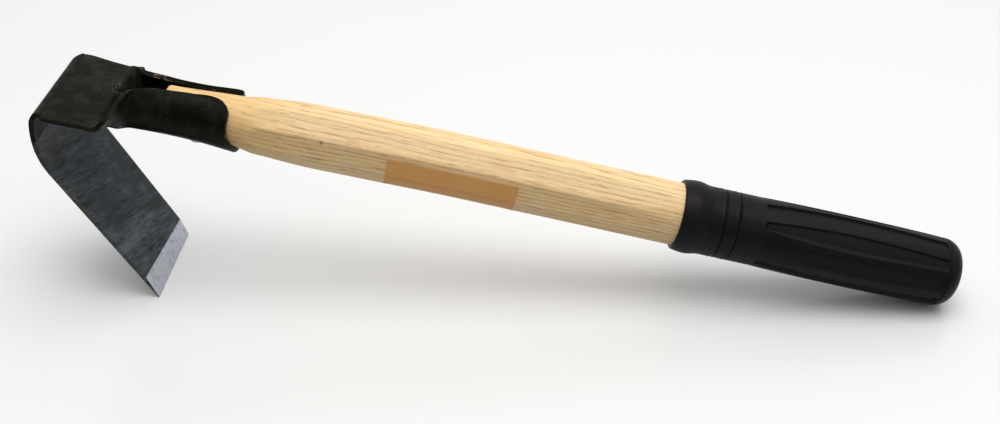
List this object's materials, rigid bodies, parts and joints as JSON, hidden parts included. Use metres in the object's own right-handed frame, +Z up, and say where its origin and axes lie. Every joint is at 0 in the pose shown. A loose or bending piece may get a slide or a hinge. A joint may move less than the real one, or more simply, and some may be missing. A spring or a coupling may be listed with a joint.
{
  "type": "hand hoe",
  "caption": "Short-handled garden hoe: forged strap blade folded back under a flat neck, open rolled socket, ash handle, fluted black rubber grip and a blank paper label.",
  "frame": {"origin": "on the ground, below the middle of the tool's box, with the tool resting on its cutting edge and grip end", "axes": "+X from the blade towards the grip end, +Y across the blade, +Z up"},
  "size_m": [0.3986, 0.0558, 0.0985],
  "materials": {
    "forged_steel": "satin olive-black paint on forged steel, bare ground bevel at the cutting edge",
    "ash_wood": "pale ash, sanded and lightly oiled",
    "black_rubber": "satin moulded rubber",
    "tan_paper": "blank tan paper label",
    "screw_steel": "zinc-plated steel"
  },
  "bodies": {
    "root": {"hoe_head": "forged_steel", "handle": "ash_wood", "grip": "black_rubber", "label": "tan_paper", "socket_screw": "screw_steel"}
  },
  "joints": []
}
